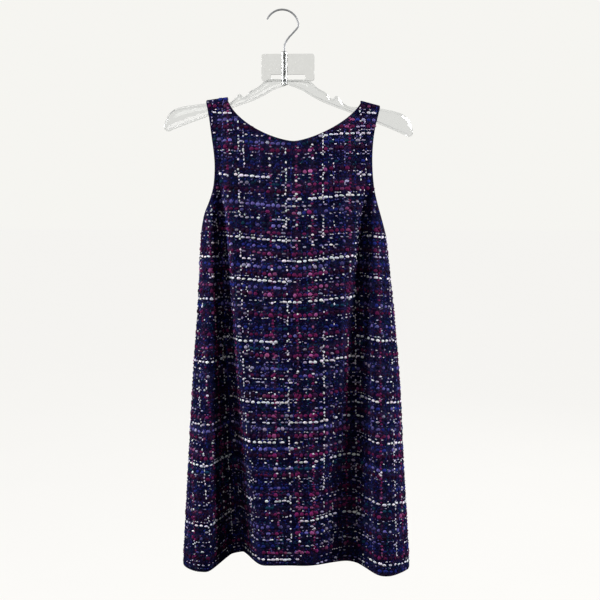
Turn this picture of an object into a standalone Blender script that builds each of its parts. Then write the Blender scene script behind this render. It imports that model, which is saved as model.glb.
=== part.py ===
"""Sleeveless tweed shift dress hanging on a clear plastic hanger with a wire hook.

Metres, +Z up, front towards -Y. The origin is the seat of the hook: the inside of the top of
its bend, where the hanger rests on a rail or a nail.
"""

import math

import bmesh
import bpy
import numpy as np

# Cloth
WALL = 0.002
SEAM_GAP = 0.0003
DRESS_X = 0.021  # centre line of the dress, a little right of the hook
SHOULDER_Z = -0.1497  # shoulder seam at its neck end
RIGHT_SHOULDER_DROP = 0.0015
LEFT_SHOULDER_SLOPE = 0.17
RIGHT_SHOULDER_SLOPE = 0.24
STRAP_BEND = 0.004  # radius of the strap's bend over the hanger's arm
STRAP_SPREAD = 0.25  # how fast front and back part below the arm
UNDERARM_Z = -0.385
HEM_Z = -0.969
HEM_DROOP = 0.015  # the side rolls hang lower than the middle
LEAN = 0.025  # drop to the right, per metre across, at the shoulders
RING_POWER = 2.5  # roundness of the outline in plan at the chest
HEM_RING_POWER = 3.8

# Hung outline of the dress: distances from the centre line to each side, front and back.
SECTION_COLUMNS = ("z", "left", "right", "front", "back")
SECTIONS = (
    (-0.160, 0.160, 0.156, 0.014, 0.014),
    (-0.275, 0.152, 0.149, 0.038, 0.036),
    (-0.385, 0.164, 0.161, 0.050, 0.048),
    (-0.520, 0.172, 0.176, 0.055, 0.054),
    (-0.650, 0.182, 0.188, 0.058, 0.058),
    (-0.795, 0.191, 0.196, 0.060, 0.062),
    (-0.985, 0.203, 0.209, 0.062, 0.066),
)

# Armhole edge, from the shoulder tip to the underarm: distances from the centre line.
ARMHOLE_COLUMNS = ("z", "left", "right")
ARMHOLE = (
    (-0.159, 0.153, 0.149),
    (-0.202, 0.144, 0.139),
    (-0.275, 0.135, 0.136),
    (-0.307, 0.139, 0.140),
    (-0.328, 0.146, 0.145),
    (-0.349, 0.155, 0.151),
    (-0.370, 0.161, 0.157),
    (-0.385, 0.164, 0.161),
)
BACK_ARMHOLE_OUT = {"left": 0.008, "right": 0.001}

# Neckline: half widths at the shoulder seam and depth below it, as a superellipse.
NECK_LEFT = 0.117
NECK_RIGHT = 0.117
FRONT_NECK_POWERS = (1.6, 1.4)
BACK_NECK_POWERS = (1.8, 1.8)
FRONT_NECK_DROP = 0.073
BACK_NECK_DROP = 0.095

# Folds, each a soft bell in plan that deepens from the chest to the hem. A positive depth is
# a trough pressed into the dress, and a negative one is a roll standing out of it. The reach
# is how far the bell runs to its left and to its right.
FOLD_START_Z = -0.265
FOLD_CHEST_Z = -0.390
FOLD_COLUMNS = (
    "x_chest", "x_hem", "depth_chest", "depth_hem",
    "left_chest", "left_hem", "right_chest", "right_hem",
)
FRONT_FOLDS = {
    "left trough": (-0.104, -0.085, 0.036, 0.068, 0.018, 0.052, 0.019, 0.056),
    "right trough": (0.144, 0.130, 0.032, 0.028, 0.024, 0.100, 0.017, 0.045),
    "left roll": (-0.127, -0.154, -0.004, -0.010, 0.020, 0.040, 0.015, 0.040),
    "right roll": (0.164, 0.193, -0.004, -0.014, 0.015, 0.040, 0.015, 0.040),
}
BACK_FOLDS = {
    "left trough": (-0.066, -0.050, 0.028, 0.046, 0.028, 0.052, 0.030, 0.056),
    "right trough": (0.116, 0.102, 0.026, 0.042, 0.028, 0.056, 0.026, 0.048),
    "left roll": (-0.118, -0.140, -0.004, -0.012, 0.020, 0.042, 0.020, 0.042),
    "right roll": (0.152, 0.178, -0.004, -0.012, 0.018, 0.040, 0.018, 0.040),
}

# Grid of each panel
SIDE_COLUMNS = 6  # from the side seam to the trough
MIDDLE_COLUMNS = 8  # from the trough to the centre line
HALF_COLUMNS = SIDE_COLUMNS + MIDDLE_COLUMNS
SKIRT_ROWS = 17
CHEST_ROWS = 9
STRAP_ROWS = 9
BEND_ROWS = 4
FINE_STEPS = 240

# Hanger
HANGER_X = 0.010
HANGER_THICK = 0.005
HANGER_EDGE = 0.0012
CREST_HALF = 0.046
CREST_TOP = -0.073
CREST_FOOT = -0.119
SLOT_HALF = 0.030
SLOT_TOP = -0.108
SLOT_FOOT = -0.117
BOSS_RADIUS = 0.0055
BOSS_FOOT = -0.126
BORE_CLEARANCE = 0.0004
ARM_COLUMNS = ("x", "top", "foot")
ARM_STATIONS = (
    (0.000, -0.1170, -0.1255),
    (0.028, -0.1170, -0.1365),
    (0.037, -0.1180, -0.1420),
    (0.050, -0.1290, -0.1490),
    (0.069, -0.1410, -0.1570),
    (0.0745, -0.1475, -0.1590),
    (0.079, -0.1475, -0.1605),
    (0.083, -0.1430, -0.1620),
    (0.0865, -0.1440, -0.1635),
    (0.094, -0.1526, -0.1660),
    (0.142, -0.1604, -0.1835),
    (0.167, -0.1640, -0.1928),
    (0.186, -0.1675, -0.2003),
    (0.202, -0.1740, -0.2065),
    (0.212, -0.1850, -0.2100),
    (0.217, -0.1980, -0.2070),
)

# Hook
WIRE_RADIUS = 0.0016
HOOK_RADIUS = 0.0285  # of the wire's centre line
HOOK_TIP_ANGLE = 155.0
HOOK_NECK_ANGLE = 5.0
HOOK_NECK_PULL = 0.008
STEM_PULL = 0.016
STEM_X = 0.004
STEM_TOP = -0.062
STEM_FOOT = -0.118


def remove_everything():
    for obj in list(bpy.data.objects):
        bpy.data.objects.remove(obj, do_unlink=True)


def material(name, color, roughness, metallic=0.0, alpha=1.0):
    made = bpy.data.materials.new(name)
    made.use_nodes = True
    shader = made.node_tree.nodes["Principled BSDF"]
    shader.inputs["Base Color"].default_value = (*color, 1.0)
    shader.inputs["Roughness"].default_value = roughness
    shader.inputs["Metallic"].default_value = metallic
    shader.inputs["Alpha"].default_value = alpha
    return made


def add_object(name, data, look):
    obj = bpy.data.objects.new(name, data)
    obj.data.materials.append(look)
    bpy.context.scene.collection.objects.link(obj)
    return obj


def smoothstep(low, high, value):
    t = np.clip((value - low) / (high - low), 0.0, 1.0)
    return t * t * (3.0 - 2.0 * t)


def curve_through(table, columns, name):
    """Smooth function of z through one named column of a table (Catmull-Rom tangents)."""
    rows = sorted(table)
    z = np.array([row[0] for row in rows])
    v = np.array([row[columns.index(name)] for row in rows])
    slope = np.gradient(v, z)

    def value(at):
        at = np.clip(at, z[0], z[-1])
        i = np.clip(np.searchsorted(z, at) - 1, 0, len(z) - 2)
        h = z[i + 1] - z[i]
        t = (at - z[i]) / h
        return (
            (2 * t**3 - 3 * t**2 + 1) * v[i] + (t**3 - 2 * t**2 + t) * h * slope[i]
            + (3 * t**2 - 2 * t**3) * v[i + 1] + (t**3 - t**2) * h * slope[i + 1]
        )

    return value


RING = {name: curve_through(SECTIONS, SECTION_COLUMNS, name) for name in SECTION_COLUMNS[1:]}
EDGE = {name: curve_through(ARMHOLE, ARMHOLE_COLUMNS, name) for name in ARMHOLE_COLUMNS[1:]}


def shoulder_z(x):
    """Height of the shoulder seam: level between the neck points, then sloping outwards."""
    across = x - DRESS_X
    left_out = np.maximum(-across - NECK_LEFT, 0.0)
    right_out = np.maximum(across - NECK_RIGHT, 0.0)
    neck_end = SHOULDER_Z - RIGHT_SHOULDER_DROP * smoothstep(-NECK_LEFT, NECK_RIGHT, across)
    return neck_end - LEFT_SHOULDER_SLOPE * left_out - RIGHT_SHOULDER_SLOPE * right_out


def hem_z(x):
    return HEM_Z - HEM_DROOP * smoothstep(0.09, 0.16, np.abs(x - DRESS_X))


def fold_depth(folds, x, z):
    """How far the folds press the cloth in at (x, z)."""
    down = (FOLD_CHEST_Z - z) / (FOLD_CHEST_Z - HEM_Z)
    fade = smoothstep(FOLD_START_Z, FOLD_CHEST_Z, z)
    depth = np.zeros_like(x)
    for row in folds.values():
        fold = dict(zip(FOLD_COLUMNS, row))
        step = np.clip(down, -0.2, 1.0)
        centre = fold["x_chest"] + (fold["x_hem"] - fold["x_chest"]) * step
        full = fold["depth_chest"] + (fold["depth_hem"] - fold["depth_chest"]) * step
        left = fold["left_chest"] + (fold["left_hem"] - fold["left_chest"]) * step
        right = fold["right_chest"] + (fold["right_hem"] - fold["right_chest"]) * step
        away = (x - centre) / np.where(x < centre, left, right)
        bell = np.cos(np.clip(away, -1.0, 1.0) * math.pi / 2) ** 2
        depth = depth + fade * full * bell
    return depth


def trough_x(panel, side, z):
    """Where a panel's trough runs on one side, and the middle of the strap above it."""
    trough = panel["folds"]["left trough" if side < 0 else "right trough"]
    fold = dict(zip(FOLD_COLUMNS, trough))
    down = max((FOLD_CHEST_Z - z) / (FOLD_CHEST_Z - HEM_Z), 0.0)
    at_fold = fold["x_chest"] + (fold["x_hem"] - fold["x_chest"]) * down
    neck, tip = (NECK_LEFT, ARMHOLE[0][1]) if side < 0 else (NECK_RIGHT, ARMHOLE[0][2])
    strap_middle = DRESS_X + side * (neck + tip) / 2
    up = smoothstep(FOLD_CHEST_Z, SHOULDER_Z, z)
    return at_fold + (strap_middle - at_fold) * up


def panel_y(panel, x, z):
    """Distance of a panel's cloth from the plane of the hanger."""
    side = np.where(x < DRESS_X, RING["left"](z), RING["right"](z))
    across = np.clip(np.abs(x - DRESS_X) / side, 0.0, 1.0)
    power = RING_POWER + (HEM_RING_POWER - RING_POWER) * smoothstep(UNDERARM_Z, HEM_Z, z)
    rounded = (1.0 - across**power) ** (1.0 / power)
    hung = rounded * (RING[panel["depth"]](z) - fold_depth(panel["folds"], x, z))
    below = np.maximum(shoulder_z(x) - z, 0.0)
    bend = np.sqrt(1.0 - (1.0 - np.minimum(below / STRAP_BEND, 1.0)) ** 2)
    strap = STRAP_BEND * bend + STRAP_SPREAD * np.maximum(below - STRAP_BEND, 0.0)
    share = smoothstep(-0.16, -0.34, z)
    return share * hung + (1.0 - share) * strap


def neck_x(panel, drop, side):
    """Distance of the neckline from the centre line, at a drop below the shoulder seam."""
    half = NECK_LEFT if side < 0 else NECK_RIGHT
    power = panel["neck_powers"][0 if side < 0 else 1]
    rest = max(1.0 - (drop / panel["neck_drop"]) ** power, 0.0)
    return half * rest ** (1.0 / power)


def seam_line():
    """Fractions of the half width from the side seam to the centre, fine at the seam."""
    return np.cos(np.linspace(0.0, math.pi / 2, FINE_STEPS))


def cloth_line(panel, side, row_z, start, end):
    """Fine points of one half row: along the ring from a side seam, or straight in front view."""
    if start is None:
        fraction = seam_line()
        name = "left" if side < 0 else "right"
        lift = (row_z - UNDERARM_Z) / (HEM_Z - UNDERARM_Z)
        x = DRESS_X + side * fraction * RING[name](row_z)
        z = UNDERARM_Z + lift * (hem_z(x) - UNDERARM_Z)
        x = DRESS_X + side * fraction * RING[name](z)
    else:
        t = np.linspace(0.0, 1.0, FINE_STEPS)
        x = start[0] + (end[0] - start[0]) * t
        z = start[1] + (end[1] - start[1]) * t
    return np.column_stack([x, panel_y(panel, x, z), z])


def spread_columns(panel, side, line):
    """Columns of one half row, evenly along the cloth on each side of the trough."""
    length = np.concatenate([[0.0], np.cumsum(np.linalg.norm(np.diff(line, axis=0), axis=1))])
    trough = trough_x(panel, side, float(np.mean(line[:, 2])))
    split = float(np.interp(side * -trough, side * -line[:, 0], length))
    at = np.concatenate([
        np.linspace(0.0, split, SIDE_COLUMNS + 1),
        np.linspace(split, length[-1], MIDDLE_COLUMNS + 1)[1:],
    ])
    return np.column_stack([np.interp(at, length, line[:, i]) for i in range(3)])


def armhole_x(panel, side, z):
    """Distance of a panel's armhole edge from the centre line."""
    name = "left" if side < 0 else "right"
    share = np.clip((z - UNDERARM_Z) / (ARMHOLE[0][0] - UNDERARM_Z), 0.0, 1.0)
    out = EDGE[name](z) + panel["edge_out"][name] * math.sin(math.pi * share)
    return min(out, RING[name](z) * 0.9996)


def half_row(panel, side, outer_z, inner_z, inner_out):
    """One row of a half panel above the underarm, from the armhole to the neck or centre."""
    start = (DRESS_X + side * armhole_x(panel, side, outer_z), outer_z)
    end = (DRESS_X + side * inner_out, inner_z)
    return spread_columns(panel, side, cloth_line(panel, side, outer_z, start, end))


def half_panel(panel, side):
    """Rows of points of one half of a panel, from the hem up to the shoulder seam."""
    rows = []
    for i in range(SKIRT_ROWS + 1):
        z = HEM_Z + (UNDERARM_Z - HEM_Z) * i / SKIRT_ROWS
        rows.append(spread_columns(panel, side, cloth_line(panel, side, z, None, None)))
    neck_foot = SHOULDER_Z - panel["neck_drop"]
    for i in range(1, CHEST_ROWS):
        z = UNDERARM_Z + (neck_foot - UNDERARM_Z) * (i / CHEST_ROWS) ** 1.5
        rows.append(half_row(panel, side, z, z, 0.0))
    panel["split_row"] = len(rows)
    tip_x = DRESS_X + side * armhole_x(panel, side, ARMHOLE[0][0])
    tip_z = shoulder_z(tip_x) - STRAP_BEND
    for i in range(STRAP_ROWS + 1):
        t = i / STRAP_ROWS
        outer_z = neck_foot + (tip_z - neck_foot) * t
        drop = panel["neck_drop"] * math.cos(t * math.pi / 2) + STRAP_BEND * t
        inner_out = neck_x(panel, drop, side)
        inner_z = shoulder_z(DRESS_X + side * inner_out) - drop
        rows.append(half_row(panel, side, outer_z, inner_z, inner_out))
    foot = rows[-1]
    for i in range(1, BEND_ROWS + 1):
        angle = math.pi / 2 * i / BEND_ROWS
        bent = foot.copy()
        bent[:, 1] = foot[:, 1] * math.cos(angle)
        bent[:, 2] = foot[:, 2] + STRAP_BEND * math.sin(angle)
        rows.append(bent)
    return np.array(rows)


def lean(points):
    """Let the shoulders drop to the right, fading out towards the hem."""
    share = smoothstep(-0.9, -0.2, points[..., 2])
    points[..., 2] -= LEAN * share * (points[..., 0] - DRESS_X)
    return points


def grid_normals(grid):
    across = np.gradient(grid, axis=1)
    along = np.gradient(grid, axis=0)
    normals = np.cross(across, along)
    return normals / np.linalg.norm(normals, axis=2, keepdims=True)


def build_panel(name, panel, look):
    """A panel as a closed wall: two offset grids joined by a rim."""
    toward = panel["toward"]
    mesh = bmesh.new()
    halves = {}
    for side in (-1, 1):
        grid = half_panel(panel, side)
        grid[..., 1] = np.maximum(grid[..., 1], SEAM_GAP / 2) * toward
        normals = grid_normals(grid if side < 0 else grid[:, ::-1])
        normals = normals if side < 0 else normals[:, ::-1]
        normals[: SKIRT_ROWS + 1, 0, 1] = 0.0
        normals[-1, :, 1] = 0.0
        normals /= np.linalg.norm(normals, axis=2, keepdims=True)
        halves[side] = (grid, normals)
    split = panel["split_row"]
    middle = halves[-1][1][: split + 1, -1] + halves[1][1][: split + 1, -1]
    middle /= np.linalg.norm(middle, axis=1, keepdims=True)
    for side in (-1, 1):
        halves[side][1][: split + 1, -1] = middle

    def skin(offset):
        made = {}
        for side, (grid, normals) in halves.items():
            points = lean(grid + normals * offset)
            made[side] = [[mesh.verts.new(p) for p in row[:-1]] + [None] for row in points]
            for j, row in enumerate(points):
                shared = side > 0 and j <= split
                made[side][j][-1] = made[-1][j][-1] if shared else mesh.verts.new(row[-1])
        return made

    inner, outer = skin(-WALL / 2), skin(WALL / 2)
    for side in (-1, 1):
        a, b = inner[side], outer[side]
        top, last = len(a) - 1, HALF_COLUMNS
        for j in range(top):
            for i in range(last):
                mesh.faces.new((a[j][i], a[j][i + 1], a[j + 1][i + 1], a[j + 1][i]))
                mesh.faces.new((b[j][i], b[j + 1][i], b[j + 1][i + 1], b[j][i + 1]))
            mesh.faces.new((a[j][0], a[j + 1][0], b[j + 1][0], b[j][0]))
            if j >= split:
                mesh.faces.new((a[j][last], b[j][last], b[j + 1][last], a[j + 1][last]))
        for i in range(last):
            mesh.faces.new((a[0][i], b[0][i], b[0][i + 1], a[0][i + 1]))
            mesh.faces.new((a[top][i], a[top][i + 1], b[top][i + 1], b[top][i]))
    return mesh_object(name, mesh, look)


def mesh_object(name, mesh, look, sharp_angle=50.0):
    bmesh.ops.recalc_face_normals(mesh, faces=mesh.faces)
    data = bpy.data.meshes.new(name)
    mesh.to_mesh(data)
    mesh.free()
    obj = add_object(name, data, look)
    data.shade_smooth()
    data.set_sharp_from_angle(angle=math.radians(sharp_angle))
    return obj


def dress(look):
    front = {
        "depth": "front", "folds": FRONT_FOLDS, "neck_drop": FRONT_NECK_DROP,
        "neck_powers": FRONT_NECK_POWERS, "toward": -1.0,
        "edge_out": {"left": 0.0, "right": 0.0},
    }
    back = {
        "depth": "back", "folds": BACK_FOLDS, "neck_drop": BACK_NECK_DROP,
        "neck_powers": BACK_NECK_POWERS, "toward": 1.0, "edge_out": BACK_ARMHOLE_OUT,
    }
    build_panel("dress_front", front, look)
    build_panel("dress_back", back, look)


def arm_profile(top, foot):
    """Chamfered upright section of the hanger's arm, as (y, z) pairs."""
    half, edge = HANGER_THICK / 2, HANGER_EDGE
    return (
        (-half, foot + edge), (-half + edge, foot), (half - edge, foot), (half, foot + edge),
        (half, top - edge), (half - edge, top), (-half + edge, top), (-half, top - edge),
    )


def hanger_arms():
    """Both arms as one beam, lofted through the stations from tip to tip."""
    left = [(-x, top, foot) for x, top, foot in reversed(ARM_STATIONS[1:])]
    mesh = bmesh.new()
    rings = []
    for x, top, foot in left + list(ARM_STATIONS):
        drop = -LEAN * (HANGER_X + x - DRESS_X)
        ring = [(HANGER_X + x, y, z + drop) for y, z in arm_profile(top, foot)]
        rings.append([mesh.verts.new(point) for point in ring])
    for a, b in zip(rings, rings[1:]):
        for i in range(len(a)):
            k = (i + 1) % len(a)
            mesh.faces.new((a[i], a[k], b[k], b[i]))
    mesh.faces.new(reversed(rings[0]))
    mesh.faces.new(rings[-1])
    return mesh


def box(name, centre, size, look):
    mesh = bmesh.new()
    bmesh.ops.create_cube(mesh, size=1.0)
    bmesh.ops.scale(mesh, vec=size, verts=mesh.verts)
    bmesh.ops.translate(mesh, vec=centre, verts=mesh.verts)
    return mesh_object(name, mesh, look)


def rod(name, radius, x, foot, top, look):
    mesh = bmesh.new()
    bmesh.ops.create_cone(
        mesh, cap_ends=True, segments=20, radius1=radius, radius2=radius, depth=top - foot
    )
    bmesh.ops.translate(mesh, vec=(x, 0.0, (top + foot) / 2), verts=mesh.verts)
    return mesh_object(name, mesh, look)


def combine(body, tool, operation):
    step = body.modifiers.new(tool.name, "BOOLEAN")
    step.operation = operation
    step.solver = "EXACT"
    step.object = tool
    tool.hide_render = True
    tool.display_type = "WIRE"


def hanger(look):
    body = mesh_object("hanger_body", hanger_arms(), look)
    crest = box(
        "crest_tool", (HANGER_X, 0.0, (CREST_TOP + CREST_FOOT) / 2),
        (2 * CREST_HALF, HANGER_THICK - 0.0006, CREST_TOP - CREST_FOOT), look,
    )
    slot = box(
        "slot_tool", (HANGER_X, 0.0, (SLOT_TOP + SLOT_FOOT) / 2),
        (2 * SLOT_HALF, 3 * HANGER_THICK, SLOT_TOP - SLOT_FOOT), look,
    )
    boss = rod("boss_tool", BOSS_RADIUS, STEM_X, BOSS_FOOT, CREST_TOP + 0.004, look)
    bore = rod(
        "bore_tool", WIRE_RADIUS + BORE_CLEARANCE, STEM_X, STEM_FOOT - 0.0004, 0.0, look
    )
    combine(body, crest, "UNION")
    combine(body, slot, "DIFFERENCE")
    combine(body, boss, "UNION")
    combine(body, bore, "DIFFERENCE")


def hook_route():
    """The wire's centre line: a round bend, a sweep back under it, and a straight stem."""
    centre_z = WIRE_RADIUS - HOOK_RADIUS
    route = []
    for i in range(31):
        angle = math.radians(HOOK_TIP_ANGLE + (HOOK_NECK_ANGLE - HOOK_TIP_ANGLE) * i / 30)
        route.append((HOOK_RADIUS * math.cos(angle), centre_z + HOOK_RADIUS * math.sin(angle)))
    end = route[-1]
    tangent = math.radians(HOOK_NECK_ANGLE - 90.0)
    first = (
        end[0] + HOOK_NECK_PULL * math.cos(tangent),
        end[1] + HOOK_NECK_PULL * math.sin(tangent),
    )
    second = (STEM_X, STEM_TOP + STEM_PULL)
    for i in range(1, 13):
        t = i / 12
        weights = ((1 - t) ** 3, 3 * t * (1 - t) ** 2, 3 * t * t * (1 - t), t**3)
        points = (end, first, second, (STEM_X, STEM_TOP))
        route.append(tuple(sum(w * p[k] for w, p in zip(weights, points)) for k in (0, 1)))
    route.append((STEM_X, STEM_FOOT))
    return route


def hook(look):
    route = hook_route()
    curve = bpy.data.curves.new("wire_hook", "CURVE")
    curve.dimensions = "3D"
    curve.bevel_depth = WIRE_RADIUS
    curve.bevel_resolution = 3
    curve.use_fill_caps = True
    line = curve.splines.new("POLY")
    line.points.add(len(route) - 1)
    for point, (x, z) in zip(line.points, route):
        point.co = (x, 0.0, z, 1.0)
    add_object("wire_hook", curve, look)


def build():
    remove_everything()
    dress(material("tweed", (0.045, 0.035, 0.13), 0.85))
    hanger(material("clear_plastic", (0.92, 0.94, 0.95), 0.08, alpha=0.35))
    hook(material("chrome_wire", (0.75, 0.76, 0.78), 0.18, metallic=1.0))


build()
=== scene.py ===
"""Looks of a sleeveless tweed shift dress on its clear plastic hanger.

Metres, +Z up, front towards -Y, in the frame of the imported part. The cloth repeats the part's
form on a finer grid, with soft creases of its own. Its tweed is a dark woven ground with the
slubs of the coloured yarns standing on it as raised beads.
"""

import math

import bmesh
import bpy
import numpy as np
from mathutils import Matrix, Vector


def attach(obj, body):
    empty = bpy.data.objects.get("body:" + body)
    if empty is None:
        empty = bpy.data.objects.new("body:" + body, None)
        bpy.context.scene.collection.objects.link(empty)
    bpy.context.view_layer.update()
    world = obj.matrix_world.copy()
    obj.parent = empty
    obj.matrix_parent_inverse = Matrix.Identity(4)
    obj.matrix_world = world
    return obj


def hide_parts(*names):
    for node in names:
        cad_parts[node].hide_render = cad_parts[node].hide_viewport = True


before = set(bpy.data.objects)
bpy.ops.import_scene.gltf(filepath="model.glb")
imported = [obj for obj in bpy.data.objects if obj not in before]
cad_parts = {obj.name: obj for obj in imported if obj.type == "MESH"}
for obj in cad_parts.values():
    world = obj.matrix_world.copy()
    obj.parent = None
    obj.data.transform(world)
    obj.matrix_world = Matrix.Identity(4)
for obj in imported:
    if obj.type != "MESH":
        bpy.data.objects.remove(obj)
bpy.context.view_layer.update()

RANDOM = np.random.default_rng(7)

# Form of the cloth, as in the part
WALL = 0.002
SEAM_GAP = 0.0003
DRESS_X = 0.021  # centre line of the dress, a little right of the hook
SHOULDER_Z = -0.1497  # shoulder seam at its neck end
RIGHT_SHOULDER_DROP = 0.0015
LEFT_SHOULDER_SLOPE = 0.17
RIGHT_SHOULDER_SLOPE = 0.24
STRAP_BEND = 0.004
STRAP_SPREAD = 0.25
STRAP_ONLY_Z = -0.16  # above this the straps set the form, below the next the rings do
RINGS_ONLY_Z = -0.34
UNDERARM_Z = -0.385
HEM_Z = -0.969
HEM_DROOP = 0.015
HEM_DROOP_FROM = 0.09  # distances from the centre line between which the hem droops
HEM_DROOP_TO = 0.16
LEAN = 0.025
LEAN_FOOT = -0.9  # heights between which the lean comes in
LEAN_HEAD = -0.2
RING_POWER = 2.5
HEM_RING_POWER = 3.8

SECTION_COLUMNS = ("z", "left", "right", "front", "back")
SECTIONS = (
    (-0.160, 0.160, 0.156, 0.014, 0.014),
    (-0.275, 0.152, 0.149, 0.038, 0.036),
    (-0.385, 0.164, 0.161, 0.050, 0.048),
    (-0.520, 0.172, 0.176, 0.055, 0.054),
    (-0.650, 0.182, 0.188, 0.058, 0.058),
    (-0.795, 0.191, 0.196, 0.060, 0.062),
    (-0.985, 0.203, 0.209, 0.062, 0.066),
)
ARMHOLE_COLUMNS = ("z", "left", "right")
ARMHOLE = (
    (-0.159, 0.153, 0.149),
    (-0.202, 0.144, 0.139),
    (-0.275, 0.135, 0.136),
    (-0.307, 0.139, 0.140),
    (-0.328, 0.146, 0.145),
    (-0.349, 0.155, 0.151),
    (-0.370, 0.161, 0.157),
    (-0.385, 0.164, 0.161),
)
BACK_ARMHOLE_OUT = {"left": 0.008, "right": 0.001}
SEAM_SHARE = 0.9996  # an armhole edge reaches at most this share of the way out to the side seam
NECK_LEFT = 0.117
NECK_RIGHT = 0.117
FRONT_NECK_POWERS = (1.6, 1.4)
BACK_NECK_POWERS = (1.8, 1.8)
FRONT_NECK_DROP = 0.073
BACK_NECK_DROP = 0.095
FOLD_START_Z = -0.265
FOLD_CHEST_Z = -0.390
FOLD_RISE = -0.2  # folds go on narrowing this far above the chest, as a share of their length
FOLD_COLUMNS = (
    "x_chest", "x_hem", "depth_chest", "depth_hem",
    "left_chest", "left_hem", "right_chest", "right_hem",
)
FRONT_FOLDS = {
    "left trough": (-0.104, -0.085, 0.036, 0.068, 0.018, 0.052, 0.019, 0.056),
    "right trough": (0.144, 0.130, 0.032, 0.028, 0.024, 0.100, 0.017, 0.045),
    "left roll": (-0.127, -0.154, -0.004, -0.010, 0.020, 0.040, 0.015, 0.040),
    "right roll": (0.164, 0.193, -0.004, -0.014, 0.015, 0.040, 0.015, 0.040),
}
BACK_FOLDS = {
    "left trough": (-0.066, -0.050, 0.028, 0.046, 0.028, 0.052, 0.030, 0.056),
    "right trough": (0.116, 0.102, 0.026, 0.042, 0.028, 0.056, 0.026, 0.048),
    "left roll": (-0.118, -0.140, -0.004, -0.012, 0.020, 0.042, 0.020, 0.042),
    "right roll": (0.152, 0.178, -0.004, -0.012, 0.018, 0.040, 0.018, 0.040),
}

# Soft creases that only the looks have: a line from its top to its foot, the half width of the
# ridge or trough across it, and its height out of the cloth (negative is a trough).
CREASE_COLUMNS = ("x_top", "z_top", "x_foot", "z_foot", "width", "height")
CREASE_ENDS = (0.0, 0.35, 0.8, 1.15)  # shares of its length where a crease starts, is full, fades, ends
FRONT_CREASES = (
    (-0.098, -0.240, -0.070, -0.420, 0.012, 0.0022),
    (-0.076, -0.300, -0.048, -0.560, 0.016, -0.0022),
    (0.120, -0.250, 0.104, -0.400, 0.012, 0.0016),
    (0.094, -0.380, 0.088, -0.900, 0.018, -0.0026),
    (0.066, -0.450, 0.062, -0.985, 0.022, 0.0030),
    (0.024, -0.520, 0.018, -0.985, 0.026, -0.0020),
    (-0.030, -0.600, -0.022, -0.985, 0.022, 0.0026),
    (-0.121, -0.270, -0.129, -1.050, 0.0075, 0.0050),
    (-0.150, -0.420, -0.164, -0.985, 0.012, -0.0022),
    (0.186, -0.480, 0.208, -0.985, 0.012, -0.0020),
    (-0.010, -0.230, -0.004, -0.330, 0.020, -0.0010),
)
BACK_CREASES = (
    (-0.090, -0.250, -0.100, -0.430, 0.012, 0.0020),
    (-0.020, -0.300, -0.010, -0.640, 0.018, -0.0022),
    (0.030, -0.420, 0.026, -0.985, 0.024, 0.0030),
    (0.066, -0.360, 0.052, -0.900, 0.016, -0.0024),
    (-0.098, -0.520, -0.108, -0.985, 0.016, 0.0024),
    (0.150, -0.460, 0.164, -0.985, 0.012, -0.0022),
    (0.128, -0.260, 0.112, -0.410, 0.012, 0.0016),
)

# Fine grid of each panel
SIDE_COLUMNS = 34
MIDDLE_COLUMNS = 38
HALF_COLUMNS = SIDE_COLUMNS + MIDDLE_COLUMNS
SKIRT_ROWS = 118
CHEST_ROWS = 34
STRAP_ROWS = 34
BEND_ROWS = 5
CHEST_CROWDING = 1.5  # the chest's rows crowd towards the underarm
FINE_STEPS = 260
RIM_ROUND = 0.0007  # how far the cut edge rounds out
BAKE_MARGIN = 0.01  # space around each side of the cloth in its bake map

# Tweed. A weft pick goes in every half pitch: a slubbed one, then a fine one between.
WARP_PITCH = 0.0092
PICK_PITCH = 0.01175
MAP_HALF_U = 0.3312  # half width of the chart, a whole number of warps
CHART_TOP_Z = -0.1115  # height of the first white pick of the chart
YARNS = {
    "white": (0.86, 0.85, 0.92),
    "pale": (0.44, 0.40, 0.58),
    "lavender": (0.140, 0.122, 0.390),
    "blue": (0.018, 0.026, 0.200),
    "teal": (0.008, 0.046, 0.090),
    "pink": (0.300, 0.075, 0.210),
    "magenta": (0.155, 0.014, 0.086),
    "plum": (0.044, 0.009, 0.050),
    "navy": (0.006, 0.005, 0.028),
}
GROUND = (0.0010, 0.0010, 0.0125)
MIXES = {
    "white": (("white", 0.90), ("pale", 0.10)),
    "pale": (("pale", 0.45), ("white", 0.20), ("lavender", 0.20), ("navy", 0.15)),
    "thin": (("white", 0.30), ("pale", 0.30), ("blue", 0.10), ("navy", 0.30)),
    "lavender": (("lavender", 0.60), ("blue", 0.30), ("pale", 0.10)),
    "blue": (("blue", 0.55), ("lavender", 0.20), ("teal", 0.10), ("navy", 0.15)),
    "teal": (("teal", 0.50), ("blue", 0.25), ("pale", 0.05), ("navy", 0.20)),
    "pink": (("pink", 0.40), ("magenta", 0.45), ("pale", 0.15)),
    "magenta": (("magenta", 0.56), ("pink", 0.12), ("plum", 0.32)),
    "rose": (("magenta", 0.42), ("plum", 0.33), ("pink", 0.13), ("white", 0.12)),
    "plum": (("plum", 0.50), ("magenta", 0.30), ("lavender", 0.20)),
    "navy": (("navy", 0.60), ("blue", 0.25), ("teal", 0.15)),
}
# Slubs of each mix in a coarse pick, with the share of the crossings that they fill
SLUB_COLUMNS = ("half_length", "half_width", "fill")
SLUBS = {
    "white": (0.0043, 0.0022, 0.90),
    "pale": (0.0038, 0.0016, 0.70),
    "thin": (0.0026, 0.0011, 0.70),
    "lavender": (0.0041, 0.0031, 0.92),
    "blue": (0.0041, 0.0028, 0.90),
    "teal": (0.0041, 0.0028, 0.90),
    "pink": (0.0040, 0.0026, 0.85),
    "magenta": (0.0042, 0.0032, 0.92),
    "plum": (0.0040, 0.0024, 0.85),
    "navy": (0.0040, 0.0024, 0.85),
}
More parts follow.
